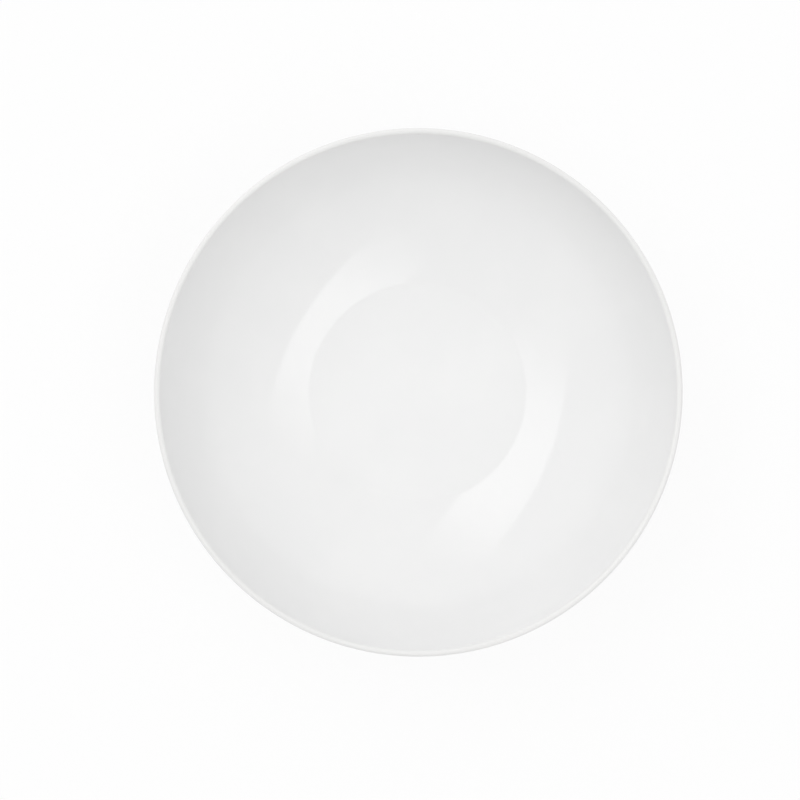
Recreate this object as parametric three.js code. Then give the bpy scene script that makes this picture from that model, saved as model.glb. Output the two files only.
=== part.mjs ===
// A round coupe bowl of glazed porcelain, in millimetres, +Z up.
// The origin is the centre of the ring that the bowl stands on, at table level.
// The bowl is three solids, bonded face to face: the fired body, the glaze coat that runs from the
// foot over the lip to the floor, and the glaze inside the foot well. The foot's underside is bare.
import * as THREE from "three";

// Driving dimensions, measured over the glaze
const rimDiameter = 200;
const bowlHeight = 56;
const lipThickness = 2.4;
const rimSlope = 74; // degrees from horizontal, where the inside wall meets the lip
const wallTaper = 1.6; // degrees that the outside wall is steeper than the inside there
const wallSlope = 15; // degrees from horizontal, where the inside wall leaves the floor
const floorDiameter = 86; // where the wall's curve meets the floor's
const floorCurve = 600; // radius of the shallow dished floor, seen in section
const knuckleCurve = 10; // radius of the bend between the floor and the wall
const floorThickness = 4.6;
const heelThickness = 6; // wall thickness straight above the foot
const footDiameter = 96; // outside of the foot at table level
const footWidth = 4.6; // width of the foot ring at table level
const footDraft = 9; // degrees that each side of the foot leans
const footFillet = 2.6; // bend between the foot and the wall
const wellDepth = 4.2; // table level to the underside of the floor
const wellFillet = 2.2; // bend between the foot and the underside
const footEdge = 0.9; // rounded edges of the bare foot
const glazeThickness = 0.25;
const glazeLine = 1.6; // height at which the glaze stops on the foot

// Facets
const turnSteps = 48;
const outsideSteps = 3; // in each of the outside wall's two arcs
const lipOuterSteps = 1;
const lipCrownSteps = 2;
const lipInnerSteps = 2;
const wallSteps = 3; // in each of the inside wall's two arcs
const knuckleSteps = 2;
const floorSteps = 2;
const filletSteps = 2;
const edgeSteps = 1;

const radians = THREE.MathUtils.degToRad;
const point = (r, z) => new THREE.Vector2(r, z);

// The unit vector at an angle from the radius axis, in the plane of the section
const heading = (angle) => point(Math.cos(angle), Math.sin(angle));

// The point a distance along a heading
const along = (start, direction, distance) => start.clone().addScaledVector(direction, distance);

// Points of an arc, both ends included
function arc(centre, radius, from, to, steps) {
  return Array.from({ length: steps + 1 }, (_, i) =>
    along(centre, heading(from + ((to - from) * i) / steps), radius),
  );
}

// Where a line, followed forward, reaches a circle for the last time
function lineToCircle(start, direction, centre, radius) {
  const back = start.clone().sub(centre);
  const half = back.dot(direction);
  return along(start, direction, -half + Math.sqrt(half * half - back.lengthSq() + radius * radius));
}

// Where two circles cross, on the side away from the axis
function circlesCross(a, radiusA, b, radiusB) {
  const across = b.clone().sub(a);
  const gap = across.length();
  const reach = (gap * gap + radiusA * radiusA - radiusB * radiusB) / (2 * gap);
  const rise = Math.sqrt(radiusA * radiusA - reach * reach);
  const unit = across.divideScalar(gap);
  const side = point(unit.y, -unit.x);
  const foot = along(a, unit, reach);
  const crossings = [along(foot, side, rise), along(foot, side, -rise)];
  return crossings.sort((p, q) => q.x - p.x)[0];
}

// The outline moved into the solid, which lies on the left of the direction of travel
function inset(outline, distance) {
  const last = outline.length - 1;
  const turnAt = (i) => {
    const before = outline[Math.max(i - 1, 0)];
    const after = outline[Math.min(i + 1, last)];
    const arriving = outline[i].clone().sub(before).normalize();
    const leaving = after.clone().sub(outline[i]).normalize();
    const travel = arriving.clone().add(leaving).normalize();
    const spread = i === 0 || i === last ? 1 : travel.dot(leaving);
    return { travel, spread };
  };
  return outline.map((p, i) => {
    const { travel, spread } = turnAt(i);
    if (p.x === 0) return point(0, p.y + Math.sign(travel.x) * distance);
    return along(p, point(-travel.y, travel.x), distance / spread);
  });
}

// The circle through a point that runs in line into another curve's end, where turn is the heading
// from its centre to that end
function circleInLine(end, turn, through) {
  const span = through.clone().sub(end);
  const radius = -span.lengthSq() / (2 * span.dot(heading(turn)));
  return { centre: along(end, heading(turn), -radius), radius };
}

// A wall of two arcs, each in line with the other where they join, between a start and an end whose
// turns are the headings from their own centres
function wallOfArcs(start, startTurn, end, endTurn) {
  const leaving = heading(startTurn + Math.PI / 2);
  const arriving = heading(endTurn + Math.PI / 2);
  const span = end.clone().sub(start);
  const reach = span.dot(leaving) + span.dot(arriving);
  const bend = 2 * (1 - leaving.dot(arriving));
  const arm = (Math.sqrt(reach * reach + bend * span.lengthSq()) - reach) / bend;
  const joint = along(start, leaving, arm).lerp(along(end, arriving, -arm), 0.5);
  const low = circleInLine(start, startTurn, joint);
  const high = circleInLine(end, endTurn, joint);
  return { low, high, jointTurn: joint.clone().sub(low.centre).angle() - 2 * Math.PI };
}

// The lip, a round between the two faces of the wall
const insideTurn = radians(rimSlope - 90); // heading from the inside wall's centre to the lip
const outsideTurn = insideTurn + radians(wallTaper);
const lipRadius = lipThickness / 2;
const lipCentre = point(rimDiameter / 2 - lipRadius, bowlHeight - lipRadius);
const insideLip = along(lipCentre, heading(insideTurn), -lipRadius);
const outsideLip = along(lipCentre, heading(outsideTurn), lipRadius);

// The inside: the wall starts at the floor's edge, turns up towards the rim and ends in line with the
// lip, and the knuckle is the bend that runs into both the floor and the wall
const floorZ = wellDepth + floorThickness;
const floorCentre = point(0, floorZ + floorCurve);
const floorTurn = -Math.acos(floorDiameter / 2 / floorCurve);
const floorEdge = along(floorCentre, heading(floorTurn), floorCurve);
const wall = wallOfArcs(floorEdge, radians(wallSlope - 90), insideLip, insideTurn);
const knuckleCentre = circlesCross(
  wall.low.centre,
  wall.low.radius - knuckleCurve,
  floorCentre,
  floorCurve - knuckleCurve,
);
const wallToKnuckle = knuckleCentre.clone().sub(wall.low.centre).angle() - 2 * Math.PI;
const knuckleToFloor = knuckleCentre.clone().sub(floorCentre).angle() - 2 * Math.PI;

// The outside wall, which thickens from the lip to the heel above the foot
const footRadius = footDiameter / 2;
const heelTurn = -Math.acos((footRadius - wall.low.centre.x) / wall.low.radius);
const heel = along(wall.low.centre, heading(heelTurn), wall.low.radius + heelThickness);
const outside = wallOfArcs(heel, heelTurn, outsideLip, outsideTurn);

// The foot: a leaning side, and a fillet that runs out into the wall
const lean = radians(footDraft);
const outerUp = point(Math.sin(lean), Math.cos(lean));
const outerAway = point(Math.cos(lean), -Math.sin(lean));
const outerToe = point(footRadius, 0);
const heelCentre = lineToCircle(
  along(outerToe, outerAway, footFillet),
  outerUp.clone().negate(),
  outside.low.centre,
  outside.low.radius + footFillet,
);
const heelToWall = outside.low.centre.clone().sub(heelCentre).angle();
const wallFromHeel = heelToWall - Math.PI;

// The well: the foot's inner side and the flat underside
const innerUp = point(-outerUp.x, outerUp.y);
const innerToe = point(footRadius - footWidth, 0);
const wellCentre = point(
  innerToe.x - (wellDepth - wellFillet) * Math.tan(lean) - wellFillet / Math.cos(lean),
  wellDepth - wellFillet,
);

// The point of a foot side at a height above the table
const sideAt = (toe, up, height) => along(toe, up, height / up.y);

// The glazed outline, from the foot over the lip to the middle of the floor
const coatOutline = [
  sideAt(outerToe, outerUp, glazeLine),
  ...arc(heelCentre, footFillet, Math.PI - lean, heelToWall, filletSteps),
  ...arc(outside.low.centre, outside.low.radius, wallFromHeel, outside.jointTurn, outsideSteps).slice(1),
  ...arc(outside.high.centre, outside.high.radius, outside.jointTurn, outsideTurn, outsideSteps).slice(1),
  ...arc(lipCentre, lipRadius, outsideTurn, 0, lipOuterSteps).slice(1),
  ...arc(lipCentre, lipRadius, 0, Math.PI / 2, lipCrownSteps).slice(1),
  ...arc(lipCentre, lipRadius, Math.PI / 2, insideTurn + Math.PI, lipInnerSteps).slice(1),
  ...arc(wall.high.centre, wall.high.radius, insideTurn, wall.jointTurn, wallSteps).slice(1),
  ...arc(wall.low.centre, wall.low.radius, wall.jointTurn, wallToKnuckle, wallSteps).slice(1),
  ...arc(knuckleCentre, knuckleCurve, wallToKnuckle, knuckleToFloor, knuckleSteps).slice(1),
  ...arc(floorCentre, floorCurve, knuckleToFloor, -Math.PI / 2, floorSteps).slice(1, -1),
  point(0, floorZ),
];
const coatBond = inset(coatOutline, glazeThickness);

// The glazed outline of the well, from the middle of the underside to the foot
const wellOutline = [
  point(0, wellDepth),
  ...arc(wellCentre, wellFillet, Math.PI / 2, lean, filletSteps),
  sideAt(innerToe, innerUp, glazeLine),
];
const wellBond = inset(wellOutline, glazeThickness);

// The bare foot, flat where it stands, with rounded edges
const edgeRadiusAt = (toe, side) =>
  toe.x + (side * (footEdge * Math.sin(lean) - footEdge - glazeThickness)) / Math.cos(lean);
const innerEdge = point(edgeRadiusAt(innerToe, -1), footEdge);
const outerEdge = point(edgeRadiusAt(outerToe, 1), footEdge);
const bareFoot = [
  ...arc(innerEdge, footEdge, Math.PI + lean, 1.5 * Math.PI, edgeSteps),
  ...arc(outerEdge, footEdge, -Math.PI / 2, -lean, edgeSteps),
];

// A solid of revolution about +Z, from an outline with the solid on its left
function turned(name, outline, material) {
  const geometry = new THREE.LatheGeometry(outline, turnSteps).rotateX(Math.PI / 2);
  const mesh = new THREE.Mesh(geometry, material);
  mesh.name = name;
  return mesh;
}

// A coat on another solid: its outline follows the bond the same way as that solid's, so that the two
// share every facet there, and its faces are then turned round to point out
function coated(name, outline, material) {
  const mesh = turned(name, outline, material);
  mesh.geometry.index.array.reverse();
  return mesh;
}

const glaze = new THREE.MeshStandardMaterial({ color: 0xf1f1f0, roughness: 0.08, metalness: 0 });
const bisque = new THREE.MeshStandardMaterial({ color: 0xe9e6df, roughness: 0.75, metalness: 0 });

const bowl = new THREE.Group();
bowl.name = "buddha_bowl";
bowl.add(
  turned("porcelain_body", [...wellBond, ...bareFoot, ...coatBond], bisque),
  coated("glaze_coat", [...coatOutline.toReversed(), ...coatBond], glaze),
  coated("foot_well_glaze", [...wellBond, ...wellOutline.toReversed()], glaze),
);

export default bowl;
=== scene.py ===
import math

import bmesh
import bpy
from mathutils import Matrix, Vector


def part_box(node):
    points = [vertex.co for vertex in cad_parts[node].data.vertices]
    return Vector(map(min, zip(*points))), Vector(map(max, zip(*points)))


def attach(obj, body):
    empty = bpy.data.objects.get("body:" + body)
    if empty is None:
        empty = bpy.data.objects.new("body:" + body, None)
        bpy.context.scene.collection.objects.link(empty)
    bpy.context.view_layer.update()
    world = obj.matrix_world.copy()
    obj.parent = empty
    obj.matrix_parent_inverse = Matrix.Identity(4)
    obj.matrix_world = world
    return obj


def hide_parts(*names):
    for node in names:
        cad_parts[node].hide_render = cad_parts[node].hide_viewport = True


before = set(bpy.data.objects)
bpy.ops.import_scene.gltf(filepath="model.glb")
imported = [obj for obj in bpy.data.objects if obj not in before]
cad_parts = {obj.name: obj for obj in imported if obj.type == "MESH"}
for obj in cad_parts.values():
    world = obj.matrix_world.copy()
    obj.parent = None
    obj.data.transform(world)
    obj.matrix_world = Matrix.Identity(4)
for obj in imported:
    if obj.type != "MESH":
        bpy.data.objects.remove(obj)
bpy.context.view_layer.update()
scene = bpy.context.scene
scene.view_settings.view_transform = 'Standard'
mm = 0.001
up = Vector((0, 0, 1))
print("frame loaded")

# the bowl's section, drawn in the XZ plane and spun about Z, sizes over the glaze
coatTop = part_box("glaze_coat")[1]
bowlShape = {
    "rimRadius": coatTop[0],
    "height": coatTop[2],
    "lipRadius": 1.2 * mm,
    "rimSlope": math.radians(74),  # inside wall at the lip
    "wallTaper": math.radians(1.6),  # outside wall is steeper by this
    "wallSlope": math.radians(15),  # inside wall at the floor
    "floorRadius": 43 * mm,
    "floorCurve": 600 * mm,
    "knuckleCurve": 10 * mm,  # bend between the floor and the wall
    "floorThickness": 4.6 * mm,
    "heelThickness": 6 * mm,  # wall above the foot
    "footRadius": 48 * mm,
    "footWidth": 4.6 * mm,
    "footDraft": math.radians(9),
    "footFillet": 2.6 * mm,
    "wellDepth": 4.2 * mm,
    "wellFillet": 2.2 * mm,
    "footEdge": 0.9 * mm,
    "glaze": 0.25 * mm,
    "glazeLine": 1.6 * mm,  # the glaze stops this far above the table
    "spinSteps": 192,
    "mergeGap": 0.002 * mm,
}
arcSteps = {
    "heel": 10,
    "outside": 22,  # in each of its two arcs
    "lip": 20,
    "wallHigh": 24,
    "wallLow": 22,
    "knuckle": 14,
    "floor": 14,
    "well": 10,
    "footEdge": 8,
    "glazeEnd": 6,
}


def heading(angle):
    return Vector((math.cos(angle), 0, math.sin(angle)))


def angleOf(vector):
    return math.atan2(vector.z, vector.x)


def circleInLine(end, turn, through):  # turn points from the circle's centre to the end
    span = through - end
    radius = -span.length_squared / (2 * span.dot(heading(turn)))
    return end - heading(turn) * radius, radius


def wallOfArcs(start, startTurn, end, endTurn):  # two arcs that run on from each other
    leaving = heading(startTurn + math.pi / 2)
    arriving = heading(endTurn + math.pi / 2)
    span = end - start
    reach = span.dot(leaving + arriving)
    bend = 2 * (1 - leaving.dot(arriving))
    arm = (math.sqrt(reach ** 2 + bend * span.length_squared) - reach) / bend
    joint = (start + leaving * arm).lerp(end - arriving * arm, 0.5)
    low, lowCurve = circleInLine(start, startTurn, joint)
    high, highCurve = circleInLine(end, endTurn, joint)
    return {"low": low, "lowCurve": lowCurve, "high": high, "highCurve": highCurve,
            "joint": angleOf(joint - low)}


def crossCircles(centreA, radiusA, centreB, radiusB):  # the crossing further from the axis
    across = centreB - centreA
    reach = (across.length_squared + radiusA ** 2 - radiusB ** 2) / (2 * across.length)
    rise = math.sqrt(radiusA ** 2 - reach ** 2)
    unit = across.normalized()
    middle = centreA + unit * reach
    side = Vector((unit.z, 0, -unit.x)) * rise
    return max(middle + side, middle - side, key=lambda point: point.x)


def meetCircle(start, direction, centre, radius):  # where a line meets a circle for the last time
    back = start - centre
    half = back.dot(direction)
    return start + direction * (math.sqrt(half ** 2 - back.length_squared + radius ** 2) - half)


# centres and turns of every arc in the section
def sectionOf(shape):
    lipRadius = shape["lipRadius"]
    lip = Vector((shape["rimRadius"] - lipRadius, 0, shape["height"] - lipRadius))
    inTurn = shape["rimSlope"] - math.pi / 2
    outTurn = inTurn + shape["wallTaper"]
    inLip = lip - heading(inTurn) * lipRadius
    outLip = lip + heading(outTurn) * lipRadius

    floorCurve, knuckleCurve = shape["floorCurve"], shape["knuckleCurve"]
    floor = up * (shape["wellDepth"] + shape["floorThickness"] + floorCurve)
    floorEdge = floor + heading(-math.acos(shape["floorRadius"] / floorCurve)) * floorCurve
    wall = wallOfArcs(floorEdge, shape["wallSlope"] - math.pi / 2, inLip, inTurn)
    wallCurve = wall["lowCurve"]
    knuckle = crossCircles(wall["low"], wallCurve - knuckleCurve, floor, floorCurve - knuckleCurve)

    outHeelTurn = -math.acos((shape["footRadius"] - wall["low"].x) / wallCurve)
    outHeel = wall["low"] + heading(outHeelTurn) * (wallCurve + shape["heelThickness"])
    outside = wallOfArcs(outHeel, outHeelTurn, outLip, outTurn)
    lean, fillet = shape["footDraft"], shape["footFillet"]
    besideFoot = Vector((shape["footRadius"], 0, 0)) + heading(-lean) * fillet
    downFoot = heading(-math.pi / 2 - lean)
    heel = meetCircle(besideFoot, downFoot, outside["low"], outside["lowCurve"] + fillet)
    return {
        "inTurn": inTurn,
        "outTurn": outTurn,
        "lip": lip,
        "wall": wall,
        "wallEnd": angleOf(knuckle - wall["low"]),
        "knuckle": knuckle,
        "knuckleEnd": angleOf(knuckle - floor),
        "floor": floor,
        "outside": outside,
        "heel": heel,
        "heelTurn": angleOf(outside["low"] - heel),
    }


section = sectionOf(bowlShape)
print("wall curves", [round(section["wall"][curve] / mm, 1) for curve in ("lowCurve", "highCurve")], "mm")


def lineTo(bm, vert, point):  # with no vert, the point starts a new line
    new = bm.verts.new(point)
    if vert:
        bm.edges.new((vert, new))
    return new


def arcTo(bm, vert, centre, turn, steps):  # turn is anticlockwise in the section
    made = bmesh.ops.spin(bm, geom=[vert], cent=centre, axis=(0, -1, 0), angle=turn, steps=steps)
    return made["geom_last"][0]


# the coat's outline at a depth under its surface: foot, outside, lip, inside, middle of the floor
def drawCoat(bm, vert, depth):
    lean = bowlShape["footDraft"]
    heel, outside, wall = section["heel"], section["outside"], section["wall"]
    heelTurn, outTurn, inTurn = section["heelTurn"], section["outTurn"], section["inTurn"]
    wallEnd, knuckleEnd = section["wallEnd"], section["knuckleEnd"]
    foot = heel + heading(math.pi - lean) * (bowlShape["footFillet"] + depth)
    low = bowlShape["glazeLine"] + depth * math.sin(lean)
    first = lineTo(bm, vert, foot - Vector((math.tan(lean), 0, 1)) * (foot.z - low))
    vert = lineTo(bm, first, foot)
    vert = arcTo(bm, vert, heel, heelTurn - (math.pi - lean), arcSteps["heel"])
    vert = arcTo(bm, vert, outside["low"], outside["joint"] - (heelTurn - math.pi), arcSteps["outside"])
    vert = arcTo(bm, vert, outside["high"], outTurn - outside["joint"], arcSteps["outside"])
    vert = arcTo(bm, vert, section["lip"], inTurn + math.pi - outTurn, arcSteps["lip"])
    vert = arcTo(bm, vert, wall["high"], wall["joint"] - inTurn, arcSteps["wallHigh"])
    vert = arcTo(bm, vert, wall["low"], wallEnd - wall["joint"], arcSteps["wallLow"])
    vert = arcTo(bm, vert, section["knuckle"], knuckleEnd - wallEnd, arcSteps["knuckle"])
    arcTo(bm, vert, section["floor"], -math.pi / 2 - knuckleEnd, arcSteps["floor"])
    return first


# the well's outline at a depth over its surface: middle of the underside to the foot's inner side
def drawWell(bm, depth):
    lean, fillet = bowlShape["footDraft"], bowlShape["wellFillet"]
    rise = bowlShape["wellDepth"] - fillet
    innerToe = bowlShape["footRadius"] - bowlShape["footWidth"]
    centre = Vector((innerToe - rise * math.tan(lean) - fillet / math.cos(lean), 0, rise))
    vert = lineTo(bm, None, up * (bowlShape["wellDepth"] + depth))
    vert = lineTo(bm, vert, centre + up * (fillet + depth))
    vert = arcTo(bm, vert, centre, lean - math.pi / 2, arcSteps["well"])
    low = bowlShape["glazeLine"] + depth * math.sin(lean)
    return lineTo(bm, vert, vert.co + Vector((math.tan(lean), 0, -1)) * (vert.co.z - low))


def roundEnd(bm, outer, inner, turn):  # the glaze's rounded edge at the foot
    end = arcTo(bm, outer, (outer.co + inner.co) / 2, turn, arcSteps["glazeEnd"])
    bmesh.ops.weld_verts(bm, targetmap={end: inner})


def spinPiece(name, bm):
    bmesh.ops.spin(bm, geom=bm.verts[:] + bm.edges[:], cent=(0, 0, 0), axis=up, angle=2 * math.pi,
                   steps=bowlShape["spinSteps"], use_merge=True)
    bmesh.ops.remove_doubles(bm, verts=bm.verts, dist=bowlShape["mergeGap"])
    bmesh.ops.recalc_face_normals(bm, faces=bm.faces)
    for face in bm.faces:
        face.smooth = True
    mesh = bpy.data.meshes.new(name)
    bm.to_mesh(mesh)
    bm.free()
    piece = bpy.data.objects.new(name, mesh)
    scene.collection.objects.link(piece)
    print(name, len(mesh.polygons), "faces")
    return piece


def makeBowlGlaze():
    bm = bmesh.new()
    outer = drawCoat(bm, None, 0)
    inner = drawCoat(bm, None, bowlShape["glaze"])
    roundEnd(bm, outer, inner, -math.pi)
    return spinPiece("bowlGlaze", bm)


def makeWellGlaze():
    bm = bmesh.new()
    outer = drawWell(bm, 0)
    inner = drawWell(bm, bowlShape["glaze"])
    roundEnd(bm, outer, inner, math.pi)
    return spinPiece("wellGlaze", bm)


# the fired clay: well, bare ring that it stands on, then everything under the coat
def makeBowlBody():
    lean, edge, glaze = bowlShape["footDraft"], bowlShape["footEdge"], bowlShape["glaze"]
    back = (edge * (1 - math.sin(lean)) + glaze) / math.cos(lean)
    innerEdge = Vector((bowlShape["footRadius"] - bowlShape["footWidth"] + back, 0, edge))
    outerEdge = Vector((bowlShape["footRadius"] - back, 0, edge))
    bm = bmesh.new()
    vert = drawWell(bm, glaze)
    vert = lineTo(bm, vert, innerEdge + heading(math.pi + lean) * edge)
    vert = arcTo(bm, vert, innerEdge, math.pi / 2 - lean, arcSteps["footEdge"])
    vert = lineTo(bm, vert, outerEdge - up * edge)
    vert = arcTo(bm, vert, outerEdge, math.pi / 2 - lean, arcSteps["footEdge"])
    drawCoat(bm, vert, glaze)
    return spinPiece("bowlBody", bm)


bowlGlaze = makeBowlGlaze()
wellGlaze = makeWellGlaze()
bowlBody = makeBowlBody()

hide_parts("glaze_coat")
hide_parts("foot_well_glaze")
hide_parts("porcelain_body")
for piece in (bowlGlaze, wellGlaze, bowlBody):
    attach(piece, "root")


# shader nodes, where an input is a value or another node's socket
def addNode(tree, kind, inputs=None, **settings):
    made = tree.nodes.new("ShaderNode" + kind)
    for key, value in settings.items():
        setattr(made, key, value)
    for key, value in (inputs or {}).items():
        if isinstance(value, bpy.types.NodeSocket):
            tree.links.new(value, made.inputs[key])
        else:
            made.inputs[key].default_value = value
    return made


def addMath(tree, operation, a, b=0.0):
    return addNode(tree, "Math", {0: a, 1: b}, operation=operation).outputs[0]


def addRange(tree, value, fromLow, fromHigh, toLow, toHigh, smooth=False):
    inputs = {"Value": value, "From Min": fromLow, "From Max": fromHigh, "To Min": toLow, "To Max": toHigh}
    kind = 'SMOOTHSTEP' if smooth else 'LINEAR'
    return addNode(tree, "MapRange", inputs, interpolation_type=kind).outputs["Result"]


def addMix(tree, share, a, b):  # sockets by number, because the Mix node repeats their names
    return addNode(tree, "Mix", {0: share, 6: a, 7: b}, data_type='RGBA').outputs[2]


def addNoise(tree, place, settings):
    return addNode(tree, "TexNoise", {"Vector": place, **settings}).outputs["Fac"]


def addGroup(tree, group, inputs):
    return addNode(tree, "Group", inputs, node_tree=group).outputs[0]


def addBump(tree, shader, height):  # height in mm
    bump = addNode(tree, "Bump", {"Height": height, "Distance": mm, "Strength": 1.0})
    tree.links.new(bump.outputs["Normal"], shader.inputs["Normal"])


def makeGroup(name, inputs, outputs):
    group = bpy.data.node_groups.new(name, 'ShaderNodeTree')
    for side, sockets in (('INPUT', inputs), ('OUTPUT', outputs)):
        for socket, kind in sockets.items():
            group.interface.new_socket(name=socket, in_out=side, socket_type="NodeSocket" + kind)
    ins = group.nodes.new("NodeGroupInput").outputs
    outs = group.nodes.new("NodeGroupOutput").inputs
    place = addNode(group, "TexCoord").outputs["Object"]
    return group, ins, outs, place


# slow drift between two tones, from the kiln
driftSet = {
    "noise": {"Detail": 3.0, "Roughness": 0.55},
    "change": (0.32, 0.68),  # noise over which the one tone turns into the other
}


def makeKilnDrift():
    inputs = {"Tone": "Color", "Other Tone": "Color", "Scale": "Float"}
    group, ins, outs, place = makeGroup("kilnDrift", inputs, {"Color": "Color"})
    noise = addNoise(group, place, {"Scale": ins["Scale"], **driftSet["noise"]})
    share = addRange(group, noise, *driftSet["change"], 0.0, 1.0, True)
    group.links.new(addMix(group, share, ins["Tone"], ins["Other Tone"]), outs["Color"])
    return group


# height in mm: slow waves, fine orange peel and the rings left by turning
skinSet = {
    "waves": {"Scale": 48.0, "Detail": 1.0, "Roughness": 0.4},
    "peel": {"Scale": 620.0, "Detail": 1.0, "Roughness": 0.5},
    "wander": 3.0,  # radians by which the waves shift the rings
}


def makeTurnedSkin():
    inputs = {"Waves": "Float", "Peel": "Float", "Rings": "Float", "Ring Gap": "Float"}
    group, ins, outs, place = makeGroup("turnedSkin", inputs, {"Height": "Float"})
    waves = addNoise(group, place, skinSet["waves"])
    peel = addNoise(group, place, skinSet["peel"])
    flat = addNode(group, "VectorMath", {0: place, 1: (1, 1, 0)}, operation='MULTIPLY').outputs["Vector"]
    radius = addNode(group, "VectorMath", {0: flat}, operation='LENGTH').outputs["Value"]
    wander = addMath(group, 'MULTIPLY', waves, skinSet["wander"])
    turns = addMath(group, 'DIVIDE', addMath(group, 'MULTIPLY', radius, 2 * math.pi / mm), ins["Ring Gap"])
    ring = addMath(group, 'SINE', addMath(group, 'ADD', turns, wander))
    height = addMath(group, 'MULTIPLY', waves, ins["Waves"])
    height = addMath(group, 'ADD', height, addMath(group, 'MULTIPLY', peel, ins["Peel"]))
    height = addMath(group, 'ADD', height, addMath(group, 'MULTIPLY', ring, ins["Rings"]))
    group.links.new(height, outs["Height"])
    return group


# a few small specks in the clay or glaze
def makeSpecks():
    inputs = {"Scale": "Float", "Size": "Float", "Share": "Float"}
    group, ins, outs, place = makeGroup("specks", inputs, {"Mask": "Float"})
    cells = addNode(group, "TexVoronoi", {"Vector": place, "Scale": ins["Scale"]})
    pick = addNode(group, "SeparateColor", {"Color": cells.outputs["Color"]}).outputs["Red"]
    chosen = addMath(group, 'LESS_THAN', pick, ins["Share"])
    dot = addRange(group, cells.outputs["Distance"], 0.0, ins["Size"], 1.0, 0.0, True)
    group.links.new(addMath(group, 'MULTIPLY', chosen, dot), outs["Mask"])
    return group


kilnDrift = makeKilnDrift()
turnedSkin = makeTurnedSkin()
specks = makeSpecks()
noiseMost = (0.3, 0.7)  # most of a noise lies between these


def newMaterial(name):
    mat = bpy.data.materials.new(name)
    mat.use_nodes = True
    tree = mat.node_tree
    return mat, tree, tree.nodes["Principled BSDF"]


glazeLook = {
    "drift": {"Tone": (0.872, 0.872, 0.870, 1), "Other Tone": (0.856, 0.857, 0.856, 1), "Scale": 26.0},
    "lipThinAndShade": (0.80, 0.795, 0.783, 1),  # the clay shows through the thin glaze at the lip; this darker lip tone is also painted shade for the lip's outer edge
    "lipThinAndShadeShare": 0.6,
    "lipDepth": 1.6 * mm,
    "speck": (0.62, 0.58, 0.52, 1),
    "polish": {"Scale": 90.0, "Detail": 4.0, "Roughness": 0.6},
    "roughness": (0.04, 0.075),
    "ior": 1.5,
}
coatFinish = {
    "specks": {"Scale": 210.0, "Size": 0.045, "Share": 0.012},
    "skin": {"Waves": 0.03, "Peel": 0.0012, "Rings": 0.0006, "Ring Gap": 6.5},
}
wellFinish = {
    "specks": {"Scale": 210.0, "Size": 0.045, "Share": 0.03},
    "skin": {"Waves": 0.05, "Peel": 0.003, "Rings": 0.002, "Ring Gap": 6.5},
}


def makeGlaze(name, finish):
    mat, tree, shader = newMaterial(name)
    place = addNode(tree, "TexCoord").outputs["Object"]
    colour = addGroup(tree, kilnDrift, glazeLook["drift"])
    height = addNode(tree, "SeparateXYZ", {"Vector": place}).outputs["Z"]
    top = bowlShape["height"]
    # a darker band over the top of the bowl: thin glaze at the lip, and partly painted shade on the lip's
    # outer edge
    lip = addRange(tree, height, top - glazeLook["lipDepth"], top, 0.0, glazeLook["lipThinAndShadeShare"], True)
    colour = addMix(tree, lip, colour, glazeLook["lipThinAndShade"])
    colour = addMix(tree, addGroup(tree, specks, finish["specks"]), colour, glazeLook["speck"])
    tree.links.new(colour, shader.inputs["Base Color"])
    polish = addNoise(tree, place, glazeLook["polish"])
    tree.links.new(addRange(tree, polish, *noiseMost, *glazeLook["roughness"]), shader.inputs["Roughness"])
    addBump(tree, shader, addGroup(tree, turnedSkin, finish["skin"]))
    shader.inputs["IOR"].default_value = glazeLook["ior"]
    return mat


bisqueLook = {
    "drift": {"Tone": (0.80, 0.775, 0.73, 1), "Other Tone": (0.74, 0.705, 0.65, 1), "Scale": 70.0},
    "grain": {"Scale": 1500.0, "Detail": 3.0, "Roughness": 0.7},
    "grainHeight": 0.04,  # in mm, as the skin's heights are
    "rubbed": (0.60, 0.57, 0.53, 1),  # where the ring has stood on tables
    "rubShare": 0.8,
    "rubHeight": 0.35 * mm,
    "rubGrain": (0.4, 0.6),  # grain over which the rubbing comes in
    "rubPatches": (0.2, 0.8),  # from faint to strong
    "speck": (0.42, 0.36, 0.30, 1),
    "specks": {"Scale": 520.0, "Size": 0.22, "Share": 0.07},
    "skin": {"Waves": 0.02, "Peel": 0.03, "Rings": 0.012, "Ring Gap": 0.7},
    "roughness": (0.66, 0.9),
}


def makeBisque():
    mat, tree, shader = newMaterial("bareBisque")
    place = addNode(tree, "TexCoord").outputs["Object"]
    colour = addGroup(tree, kilnDrift, bisqueLook["drift"])
    grain = addNoise(tree, place, bisqueLook["grain"])
    height = addNode(tree, "SeparateXYZ", {"Vector": place}).outputs["Z"]
    low = addRange(tree, height, 0.0, bisqueLook["rubHeight"], bisqueLook["rubShare"], 0.0, True)
    patchy = addRange(tree, grain, *bisqueLook["rubGrain"], *bisqueLook["rubPatches"])
    colour = addMix(tree, addMath(tree, 'MULTIPLY', low, patchy), colour, bisqueLook["rubbed"])
    colour = addMix(tree, addGroup(tree, specks, bisqueLook["specks"]), colour, bisqueLook["speck"])
    tree.links.new(colour, shader.inputs["Base Color"])
    tree.links.new(addRange(tree, grain, *noiseMost, *bisqueLook["roughness"]), shader.inputs["Roughness"])
    skin = addGroup(tree, turnedSkin, bisqueLook["skin"])
    rough = addMath(tree, 'MULTIPLY', grain, bisqueLook["grainHeight"])
    addBump(tree, shader, addMath(tree, 'ADD', skin, rough))
    return mat


bowlGlaze.data.materials.append(makeGlaze("whiteGlaze", coatFinish))
wellGlaze.data.materials.append(makeGlaze("wellWhiteGlaze", wellFinish))
bowlBody.data.materials.append(makeBisque())
print("materials made")

# table: white where it is seen, with a faint shadow kept in it
white = (1, 1, 1, 1)
tableLook = {
    "size": 3.0,
    "colour": (0.9, 0.9, 0.9, 1),
    "roughness": 0.9,
    "whiteShare": 0.88,
}


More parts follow.
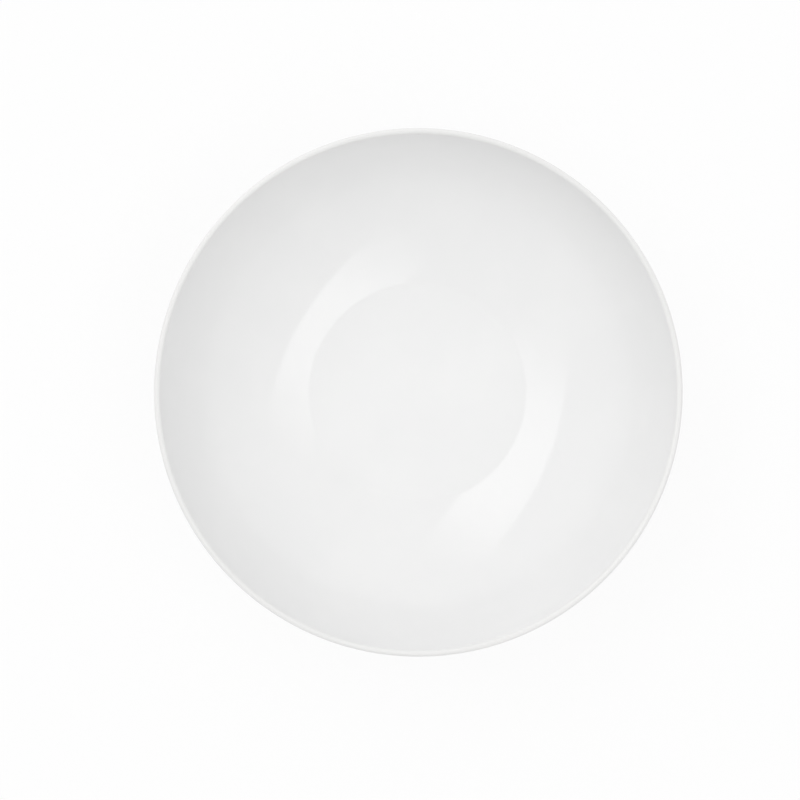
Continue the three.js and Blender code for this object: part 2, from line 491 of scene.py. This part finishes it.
def addSeen(tree):  # 1 where the camera sees it, straight, mirrored or through glass
    path = addNode(tree, "LightPath").outputs
    seen = addMath(tree, 'MAXIMUM', path["Is Camera Ray"], path["Is Glossy Ray"])
    return addMath(tree, 'MAXIMUM', seen, path["Is Transmission Ray"])


def makeTable():
    bm = bmesh.new()
    bmesh.ops.create_grid(bm, x_segments=1, y_segments=1, size=tableLook["size"])
    mesh = bpy.data.meshes.new("table")
    bm.to_mesh(mesh)
    bm.free()
    table = bpy.data.objects.new("table", mesh)
    scene.collection.objects.link(table)
    mat, tree, shader = newMaterial("paleTable")
    shader.inputs["Base Color"].default_value = tableLook["colour"]
    shader.inputs["Roughness"].default_value = tableLook["roughness"]
    glow = addNode(tree, "Emission", {"Color": white, "Strength": 1.0})
    share = addMath(tree, 'MULTIPLY', addSeen(tree), tableLook["whiteShare"])
    top = addNode(tree, "MixShader", {0: share, 1: shader.outputs["BSDF"], 2: glow.outputs["Emission"]})
    below = addNode(tree, "NewGeometry").outputs["Backfacing"]
    clear = addNode(tree, "BsdfTransparent")  # seen from below, the table is clear
    both = addNode(tree, "MixShader", {0: below, 1: top.outputs[0], 2: clear.outputs[0]})
    tree.links.new(both.outputs[0], tree.nodes["Material Output"].inputs["Surface"])
    table.data.materials.append(mat)


makeTable()

# camera looking straight down, with the bowl a little off the middle of the picture
cameraSet = {
    "lens": 100,
    "sensor": 36,
    "frameWidth": 302.2 * mm,  # at the height of the rim
    "framePx": 800,
    "bowlPx": (418.36, 392.33),
}


def makeCamera():
    data = bpy.data.cameras.new("camera")
    data.lens = cameraSet["lens"]
    data.sensor_width = cameraSet["sensor"]
    camera = bpy.data.objects.new("camera", data)
    pixel = cameraSet["frameWidth"] / cameraSet["framePx"]
    middle = cameraSet["framePx"] / 2
    away = cameraSet["frameWidth"] * cameraSet["lens"] / cameraSet["sensor"]
    bowlX, bowlY = cameraSet["bowlPx"]
    camera.location = ((middle - bowlX) * pixel, (bowlY - middle) * pixel, bowlShape["height"] + away)
    scene.collection.objects.link(camera)
    scene.camera = camera


makeCamera()

# light: a pale studio, brighter low down towards the picture's upper left, and two large soft boxes
# azimuths run clockwise from the picture's right
studioSet = {
    "brightSide": 237,
    "high": (0.753, 0.97),  # level away from and towards the bright side
    "low": (0.04, 1.48),
    "horizon": (0.1, 0.36),  # rise over which low turns into high
    "fillSide": 25,
    "lowFill": 0.55,  # more low light from the picture's right
}
softBoxSet = {
    "away": 2.0,
    "fade": (0.08, 0.5),  # each box is brightest in the middle and fades to its ends
    "ends": 0.15,
    "boxes": {
        "softBoxRight": {
            "azimuth": 36, "zenith": 27.8, "roll": 6,
            "across": 2.5, "along": 0.72, "power": 9.0,
        },
        "softBoxLeft": {
            "azimuth": 216, "zenith": 31, "roll": 16,
            "across": 2.7, "along": 0.79, "power": 10.3,
        },
    },
}


def addSide(tree, place, azimuth):  # 1 straight towards that side, 0 or less away from it
    turn = math.radians(-azimuth)
    towards = {0: place, 1: (math.cos(turn), math.sin(turn), 0)}
    return addNode(tree, "VectorMath", towards, operation='DOT_PRODUCT').outputs["Value"]


def makeStudio():
    world = bpy.data.worlds.new("studio")
    world.use_nodes = True
    tree = world.node_tree
    place = addNode(tree, "TexCoord").outputs["Generated"]
    rise = addNode(tree, "SeparateXYZ", {"Vector": place}).outputs["Z"]
    bright = addSide(tree, place, studioSet["brightSide"])
    high = addRange(tree, bright, 0.0, 1.0, *studioSet["high"])
    low = addRange(tree, bright, 0.0, 1.0, *studioSet["low"])
    fill = addRange(tree, addSide(tree, place, studioSet["fillSide"]), 0.0, 1.0, 0.0, studioSet["lowFill"])
    low = addMath(tree, 'ADD', low, fill)
    level = addRange(tree, rise, *studioSet["horizon"], low, high, True)
    level = addRange(tree, addSeen(tree), 0.0, 1.0, level, 1.0)
    back = tree.nodes["Background"]
    back.inputs["Color"].default_value = white
    tree.links.new(level, back.inputs["Strength"])
    scene.world = world


def makeSoftBox(name, box):
    data = bpy.data.lights.new(name, 'AREA')
    data.shape = 'RECTANGLE'
    data.size = box["along"]
    data.size_y = box["across"]
    data.energy = box["power"]
    data.use_nodes = True
    tree = data.node_tree
    place = addNode(tree, "NewGeometry").outputs["Parametric"]
    across = addNode(tree, "SeparateXYZ", {"Vector": place}).outputs["Y"]
    offMiddle = addMath(tree, 'ABSOLUTE', addMath(tree, 'SUBTRACT', across, 0.5))
    strength = addRange(tree, offMiddle, *softBoxSet["fade"], 1.0, softBoxSet["ends"], True)
    tree.links.new(strength, tree.nodes["Emission"].inputs["Strength"])
    light = bpy.data.objects.new(name, data)
    swing = Matrix.Rotation(math.radians(-box["azimuth"]), 4, 'Z')
    tilt = Matrix.Rotation(math.radians(box["zenith"]), 4, 'Y')
    roll = Matrix.Rotation(math.radians(box["roll"]), 4, 'Z')
    light.matrix_world = swing @ tilt @ roll @ Matrix.Translation(up * softBoxSet["away"])
    light.visible_camera = False
    scene.collection.objects.link(light)


makeStudio()
for name, box in softBoxSet["boxes"].items():
    makeSoftBox(name, box)
print("camera and lights set")
